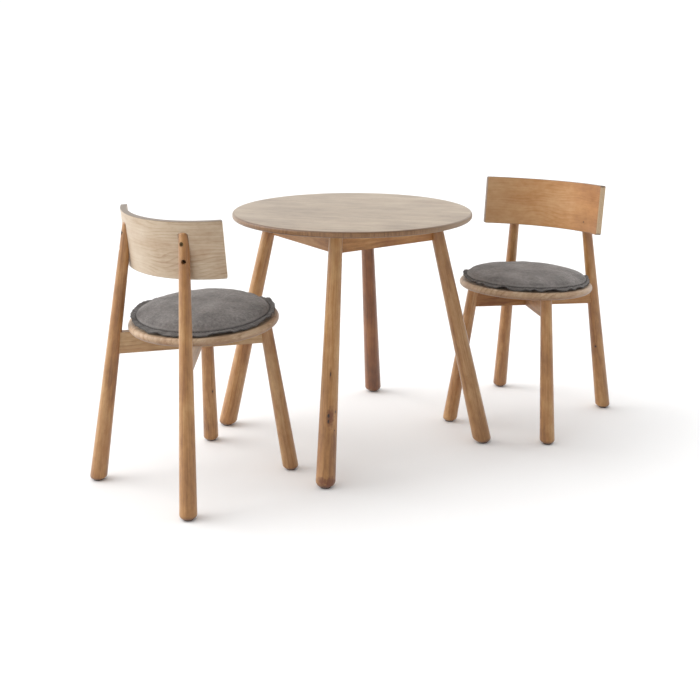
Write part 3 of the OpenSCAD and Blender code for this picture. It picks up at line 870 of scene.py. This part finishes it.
def rim_curve(points, count):
    """A smooth closed curve through the seam, as (angle, radius, height) at equal steps."""
    n = len(points)
    soft = [(points[k - 1] + points[k] * 6 + points[(k + 1) % n]) / 8 for k in range(n)]
    ang = np.unwrap([math.atan2(p.y, p.x) for p in soft])
    a = np.concatenate([ang - 2 * math.pi, ang, ang + 2 * math.pi])
    steps = ang[0] + 2 * math.pi * np.arange(count) / count
    ker = np.array([1, 2, 3, 2, 1]) / 9

    def smooth(values):
        x = np.interp(steps, a, values * 3)
        return np.convolve(np.concatenate([x[-2:], x, x[:2]]), ker, "valid")

    return steps, smooth([math.hypot(p.x, p.y) for p in soft]), smooth([p.z for p in soft])


def tube(path, r, sides, taper=1.0):
    """A closed thin tube along a few points. taper is its last radius against its first."""
    loops = []
    for k, p in enumerate(path):
        t = (path[min(k + 1, len(path) - 1)] - path[max(k - 1, 0)]).normalized()
        a = t.orthogonal().normalized()
        b = t.cross(a)
        rr = r * (1 + (taper - 1) * k / (len(path) - 1))
        loops.append([p + (a * math.cos(2 * math.pi * j / sides) + b * math.sin(2 * math.pi * j / sides)) * rr
                      for j in range(sides)])
    return rings_mesh(loops)


def joined(parts):
    verts, faces = [], []
    for v, f in parts:
        k = len(verts)
        verts += v
        faces += [tuple(i + k for i in x) for x in f]
    return verts, faces


def wave(angle, seed, turns, size):
    """Smooth noise round the rim, the same after a whole turn."""
    return noise.noise(Vector((math.cos(angle) * turns / 6.28, math.sin(angle) * turns / 6.28, seed))) * size


def flange(c, rim):
    """The flat border outside the seam: two raw-edged layers, stitches, and loose yarn ends. Each comes as
    points, faces and flat coordinates."""
    count, rows, seed = 640, 8, CUSHION_SEED[c]
    ang, rad, hgt = rim_curve(rim, count)
    pitch = 2 * math.pi / STITCHES

    def mid(k, s):
        """Between the layers, at step k round the rim and s of the way out: angle, radius, height, the gap
        between the layers, and how much the stitches pull them together."""
        a, r0, z0 = ang[k], rad[k], hgt[k]
        edge = FLANGE_R + wave(a, seed, 60, 0.0009) + wave(a, seed + 5, 240, 0.0006)
        calm = 0.75 - 0.35 * math.cos(a - TO_FRONT[c] - math.pi)
        z1 = level(CUSHION[c][3], a - TO_FRONT[c]) + \
            (wave(a, seed + 9, 22, 0.0022) + wave(a, seed + 13, 55, 0.0058)) * calm
        z1 = max(z1, 0.0024)
        r = r0 - 0.0012 + (edge - r0 + 0.0012) * s
        z = z0 + (z1 - z0) * s ** 1.25 - 0.0011 * math.sin(math.pi * min(1, s * 1.1))
        z += wave(a, seed + 17, 150, 0.0010) * s
        pinch = math.exp(-((s - STITCH_AT) / 0.13) ** 2)
        ripple = 0.5 + 0.5 * math.cos(a / pitch * 2 * math.pi)
        z -= pinch * 0.0006 * ripple + 0.0004 * ripple * (1 - s) * (s > 0.1)
        gap = 0.00005 + 0.0007 * max(0.0, s - 0.3) * (1 + wave(a, seed + 23, 90, 1.4))
        return a, r, z, max(gap, 0.00005), pinch

    parts, cloth = [], []
    outward = [(i / rows, 0.0) for i in range(rows + 1)]
    out_and_back = outward + [(s, SHEET_T) for s, _ in outward[::-1]]
    L = len(out_and_back)
    for layer in (1, -1):
        verts = []
        for s, away in out_and_back[::layer]:
            for k in range(count):
                a, r, z, gap, pinch = mid(k, s)
                off = gap / 2 + away * (1 - 0.25 * pinch)
                off -= 0.00022 * (away > 0) * (s > 0.99)  # the raw edge is a little rounded
                verts.append(Vector((r * math.cos(a), r * math.sin(a), z + layer * off)))
                cloth.append(((0.15 + 0.011 * s) * math.cos(a), (0.15 + 0.011 * s) * math.sin(a), 0.0))
        parts.append((verts, [(i * count + j, (i + 1) % L * count + j, (i + 1) % L * count + (j + 1) % count,
                               i * count + (j + 1) % count) for i in range(L) for j in range(count)]))
    rng = np.random.default_rng(int(seed * 10))
    stitches, ends = [], []
    for k in range(STITCHES):
        a = k * pitch
        i = int(round(((a - ang[0]) / (2 * math.pi) % 1) * count)) % count
        path = []
        for t in (-0.36, -0.2, 0.0, 0.2, 0.36):
            j = (i + int(round(t * count / STITCHES))) % count
            aa = a + t * pitch
            _, r, z, _, _ = mid(j, STITCH_AT)
            path.append(Vector((r * math.cos(aa), r * math.sin(aa),
                                z + SHEET_T + 0.0002 - 0.0011 * abs(t) ** 1.5)))
        stitches.append(tube(path, 0.00042, 6))
    for _ in range(1000):
        k = int(rng.integers(count))
        a, r, z, gap, _ = mid(k, 1.0)
        layer = 1 if rng.random() < 0.5 else -1
        z += layer * (gap / 2 + SHEET_T * rng.uniform(0.2, 0.8))
        away = Vector((math.cos(a), math.sin(a), 0))
        sideways = Vector((-math.sin(a), math.cos(a), 0))
        length = rng.uniform(0.0005, 0.0016)
        bend, lift = rng.normal(0, 0.6), rng.normal(0, 0.35)
        p = away * (r - 0.0004) + Vector((0, 0, z))
        path = [p]
        for t in (0.4, 0.75, 1.0):
            q = p + away * (length * t + 0.0004) + sideways * (bend * length * t * t) + \
                Vector((0, 0, lift * length * t * t))
            q.z = max(q.z, 0.0009)
            path.append(q)
        ends.append(tube(path, 0.00016, 3, 0.5))
    out = [(*joined(parts), cloth)]
    for verts, faces in (joined(stitches), joined(ends)):
        out.append((verts, faces, [(p.x, p.y, 0) for p in verts]))
    return out


blanks = {c: cushion_blank(c) for c in "ab"}
shapes = swell(list(blanks.values()))
for (c, (_, faces, cloth, rim, _)), pts in zip(blanks.items(), shapes):
    P, body, seed, on_rim = "chair_" + c + "_cushion", "cushion_" + c, CUSHION_SEED[c], set(rim)
    place = chair_matrix(c) @ SEAT_PLANE @ Matrix.Translation((0, 0, SEAT_T + 0.0004))
    seam_at = math.hypot(*cloth[rim[0]][:2])
    cover = make(P + "_cover", pts, faces, body, None, "cushion_fabric",
                 cloth_material("cloth_cover_" + c, seed, seam_highlight=seam_at), {"cloth": cloth}, place)
    crease = cover.data.attributes.new("crease_edge", "FLOAT", "EDGE")
    crease.data.foreach_set("value", [float(on_rim.issuperset(e.vertices)) for e in cover.data.edges])
    sub = cover.modifiers.new("smooth", "SUBSURF")
    sub.levels = sub.render_levels = 1
    keep_result(cover)
    # the stitches' very dark thread (0.22) is partly painted shade, standing for the shadow gaps between the
    # puckers at the seam
    looks = (("_border", "cloth_border_", 1, 0.68), ("_stitches", "cloth_stitches_", 2, 0.22),
             ("_loose_ends", "cloth_ends_", 3, 0.7))
    for (part, mat, more, light), (verts, faces, flat) in zip(looks, flange(c, [pts[k] for k in rim])):
        make(P + part, verts, faces, body, None, "cushion_fabric",
             cloth_material(mat + c, seed + more, light), {"cloth": flat}, place)
    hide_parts(P)


# ---- fixings --------------------------------------------------------------------------------
ZINC, DARK_STEEL = srgb(196, 197, 200), srgb(96, 78, 54)


def metal(name, base, rough, seed):
    """Plated steel: fine turning marks, small dull spots and a little dirt."""
    w = Material(name)
    co = w.vmath("ADD", w.new("TexCoord").outputs["Object"], (seed, seed * 0.4, seed * 0.7))
    fine = w.stretched(co, (900, 900, 3200), 3.0, 0.6)
    spot = w.noise(co, 260, 4.0, 0.65)
    t = w.add(w.mul(fine, 0.45), w.mul(spot, 0.55))
    col = w.ramp(t, (0.25, tint([base], 0.62)[0]), (0.5, base), (0.8, tint([base], 1.25)[0]))
    return w.shader(Base_Color=col, Roughness=w.add(rough - 0.1, w.mul(spot, 0.25)), Metallic=1.0,
                    Normal=w.bump(t, 0.2, 0.0001))


def felt(name, seed):
    """Pressed dark wool: short fibres every way, paler specks."""
    w = Material(name)
    co = w.vmath("ADD", w.new("TexCoord").outputs["Object"], (seed, seed, 0))
    fibre = w.noise(co, 900, 5.0, 0.75, 1.6)
    lint = w.noise(co, 2400, 2.0, 0.5)
    t = w.add(w.mul(fibre, 0.7), w.mul(lint, 0.3))
    return w.shader(Base_Color=w.ramp(t, (0.3, srgb(56, 45, 36)), (0.55, srgb(84, 69, 55)),
                                      (0.8, srgb(128, 111, 92))),
                    Roughness=w.add(0.85, w.mul(lint, 0.14)), Specular_IOR_Level=0.1,
                    Normal=w.bump(t, 0.7, 0.0003))


def finish_node(name, mat):
    set_material(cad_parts[name], mat)


for k, name in enumerate(("table_leg_bolts", "table_leg_washers", "table_leg_nuts", "table_top_screws")):
    finish_node(name, metal("zinc_" + name, ZINC, 0.32, k + 1.0))
finish_node("table_glides", felt("felt_table", 1.0))
finish_node("table_corner_blocks", wood("wood_corner_blocks", *WARM, 9.3, 45, pith=(0.2, 0.2)))
for k, c in enumerate("ab"):
    P = "chair_" + c + "_"
    finish_node(P + "backrest_bolts", metal("dark_bolts_" + c, DARK_STEEL, 0.40, k + 6.0))
    finish_node(P + "backrest_inserts", metal("zinc_inserts_" + c, ZINC, 0.35, k + 8.0))
    finish_node(P + "seat_screws", metal("zinc_screws_" + c, ZINC, 0.35, k + 10.0))
    finish_node(P + "glides", felt("felt_chair_" + c, k + 3.0))
    finish_node(P + "rail_dowels", wood("wood_dowels_" + c, *PALE, k + 2.0, CHAIRS[c][1] - 45))

# ---- floor and light ------------------------------------------------------------------------
HEADING = math.radians(-34.47)  # the camera's
RIGHT = Vector((math.cos(HEADING), math.sin(HEADING), 0))
AWAY = Vector((-math.sin(HEADING), math.cos(HEADING), 0))

bpy.ops.mesh.primitive_plane_add(size=60, location=(0, 0, 0))
floor = bpy.context.object
floor.name = "studio_floor"
ground = Material("floor_white")
white = ground.noise(ground.new("TexCoord").outputs["Object"], 0.6)
white = ground.ramp(white, (0.0, (0.95, 0.95, 0.95, 1)), (1.0, (0.97, 0.97, 0.97, 1)))
# it throws less light back than it shows
white = ground.mix(ground.new("LightPath").outputs["Is Diffuse Ray"], white, (0.76, 0.76, 0.76, 1))
floor.data.materials.append(ground.shader(Base_Color=white, Roughness=0.8, Specular_IOR_Level=0.2))

# a white room, brightest to the left and behind the set, and dimmest on the camera's side
scene.world = bpy.data.worlds.new("studio")
scene.world.use_nodes = True
room = Nodes(scene.world.node_tree)
look = room.new("TexCoord").outputs["Generated"]
glow = 0.11
for way, power in ((-RIGHT, 1.12), (AWAY, 0.65), (RIGHT, 0.44), (UP, 0.20)):
    facing = room.new("VectorMath", {"operation": "DOT_PRODUCT"}, i0=look, i1=tuple(way)).outputs["Value"]
    glow = room.add(room.mul(room.math("MAXIMUM", facing, 0.0), power), glow)
seen = room.new("LightPath").outputs["Is Camera Ray"]
both = room.new("Mix", {"data_type": "FLOAT"}, i0=seen, i2=glow, i3=1.05).outputs[0]
back = room.new("Background", Strength=both, Color=(1, 1, 1, 1)).outputs[0]
room.new("OutputWorld", i0=back)


def sun(name, toward, power, spread):
    """A wide soft light from far off. toward is where it comes from."""
    light = bpy.data.lights.new(name, "SUN")
    light.energy, light.angle = power, math.radians(spread)
    add_object(name, light).rotation_euler = toward.to_track_quat("Z", "Y").to_euler()


sun("key_left", -RIGHT + AWAY * 0.08 + UP * 0.60, 1.50, 50)
sun("top", -RIGHT * 0.2 + AWAY * 0.1 + UP, 0.85, 70)
sun("fill_right", RIGHT + AWAY * 0.7 + UP * 0.7, 0.34, 60)
